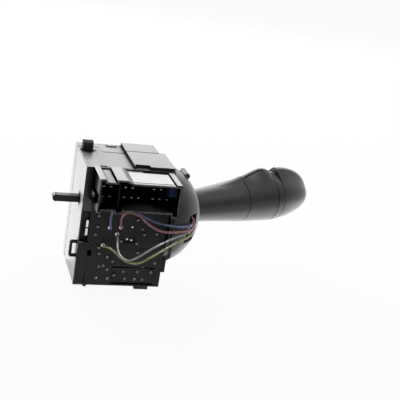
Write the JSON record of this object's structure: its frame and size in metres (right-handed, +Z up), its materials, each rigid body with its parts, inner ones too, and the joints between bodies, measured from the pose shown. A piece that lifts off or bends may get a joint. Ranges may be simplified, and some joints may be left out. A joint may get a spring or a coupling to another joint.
{
  "type": "combination stalk switch",
  "caption": "Steering column switch: lever with turning ring and end knob, ball-shaped shroud, box housing with plug socket, and a cancelling finger.",
  "frame": {"origin": "where the axis of the lever's up and down tilt meets the flat mounting face on the driver's side", "axes": "+X out of the column towards the lever's knob, +Y out of the mounting face towards the driver, +Z up"},
  "size_m": [0.1785, 0.0982, 0.0794],
  "materials": {
    "housing_black": "fine grain, satin",
    "plate_brown_black": "satin",
    "connector_black": "smooth",
    "lever_black": "fine spark texture",
    "shroud_black": "smooth satin",
    "keeper_blue": "smooth",
    "label_white": "bare paper label",
    "tinned_brass": "tinned",
    "solder": "bright solder",
    "spring_steel": "drawn wire",
    "white_acetal": "smooth",
    "grey_nylon": "glass filled",
    "bronze_bush": "sintered bronze",
    "finger_grey": "satin",
    "phenolic_board": "phenolic board with tracks",
    "wire_blue": "insulation",
    "wire_red": "insulation",
    "wire_grey": "insulation",
    "wire_yellow": "insulation"
  },
  "bodies": {
    "housing": {"rear_housing": "housing_black", "front_housing": "housing_black", "shroud_collar": "shroud_black", "contact_plate": "plate_brown_black", "connector_shroud": "connector_black", "upper_pins": "tinned_brass", "lower_pins": "tinned_brass", "connector_keeper": "keeper_blue", "socket_label": "label_white", "side_blades": "tinned_brass", "blade_cover": "plate_brown_black", "heat_stakes": "plate_brown_black", "solder_joints": "solder", "carrier_bushes": "bronze_bush", "detent_cam": "white_acetal", "contact_strips": "tinned_brass", "finger_bracket": "grey_nylon", "finger_pin": "spring_steel", "finger_spring": "spring_steel", "wire_blue": "wire_blue", "wire_red": "wire_red", "wire_grey": "wire_grey", "wire_yellow": "wire_yellow"},
    "cancel_finger": {"cancel_finger": "finger_grey"},
    "turn_carrier": {"turn_carrier": "grey_nylon", "pull_pin": "spring_steel", "turn_spring": "spring_steel"},
    "turn_plunger": {"turn_plunger": "white_acetal"},
    "contact_slider": {"contact_slider": "white_acetal", "slider_contacts": "tinned_brass"},
    "lever": {"lever_arm": "lever_black", "dome_shroud": "shroud_black", "core_tube": "spring_steel", "retaining_clip": "spring_steel", "index_band": "lever_black", "ring_board": "phenolic_board", "knob_board": "phenolic_board", "terminal_block": "connector_black", "wire_clip": "white_acetal", "beam_spring": "spring_steel", "ring_ball_spring": "spring_steel", "knob_ball_spring": "spring_steel"},
    "beam_plunger": {"beam_plunger": "white_acetal"},
    "ring_ball": {"ring_ball": "spring_steel"},
    "knob_ball": {"knob_ball": "spring_steel"},
    "fog_ring": {"fog_ring": "lever_black", "ring_wiper": "tinned_brass"},
    "light_knob": {"light_knob": "lever_black", "knob_wiper": "tinned_brass"}
  },
  "joints": [
    {"name": "turn_swing", "type": "hinge", "parent": "housing", "child": "turn_carrier", "pos_m": [0, -0.0248, 0], "axis": [0, 1, 0], "range_deg": [-11, 11], "deforming": ["wire_blue", "wire_red", "wire_grey", "wire_yellow"]},
    {"name": "beam_pull", "type": "hinge", "parent": "turn_carrier", "child": "lever", "pos_m": [0, -0.0248, 0], "axis": [0, 0, 1], "range_deg": [0, 7], "stiffness_Nm_per_rad": 4},
    {"name": "fog_ring_turn", "type": "hinge", "parent": "lever", "child": "fog_ring", "pos_m": [0, -0.0248, 0], "axis": [0.9297, 0.3674, 0.0258], "range_deg": [0, 30]},
    {"name": "light_knob_turn", "type": "hinge", "parent": "lever", "child": "light_knob", "pos_m": [0, -0.0248, 0], "axis": [0.9297, 0.3674, 0.0258], "range_deg": [0, 60]},
    {"name": "cancel_swing", "type": "hinge", "parent": "housing", "child": "cancel_finger", "pos_m": [-0.0397, -0.0345, 0.0098], "axis": [0, 1, 0], "range_deg": [-15, 15], "stiffness_Nm_per_rad": 0.02, "deforming": ["finger_spring"]},
    {"name": "turn_plunger_slide", "type": "slide", "parent": "turn_carrier", "child": "turn_plunger", "axis": [1, 0, 0], "range_m": [0, 0.0012], "stiffness_N_per_m": 800, "springref_m": -0.002, "deforming": ["turn_spring"]},
    {"name": "beam_plunger_slide", "type": "slide", "parent": "lever", "child": "beam_plunger", "axis": [1, 0, 0], "range_m": [0, 0.0012], "stiffness_N_per_m": 800, "springref_m": -0.002, "deforming": ["beam_spring"]},
    {"name": "ring_ball_slide", "type": "slide", "parent": "lever", "child": "ring_ball", "axis": [0.9297, 0.3674, 0.0258], "range_m": [0, 0.0006], "stiffness_N_per_m": 400, "springref_m": -0.001, "deforming": ["ring_ball_spring"]},
    {"name": "knob_ball_slide", "type": "slide", "parent": "lever", "child": "knob_ball", "axis": [-0.9297, -0.3674, -0.0258], "range_m": [0, 0.0006], "stiffness_N_per_m": 400, "springref_m": -0.001, "deforming": ["knob_ball_spring"]},
    {"name": "slider_travel", "type": "slide", "parent": "housing", "child": "contact_slider", "axis": [0, 0, 1], "range_m": [-0.0024, 0.0024]}
  ],
  "couplings": [
    {"joint": "slider_travel", "follows": "turn_swing", "m_per_rad": 0.012}
  ]
}
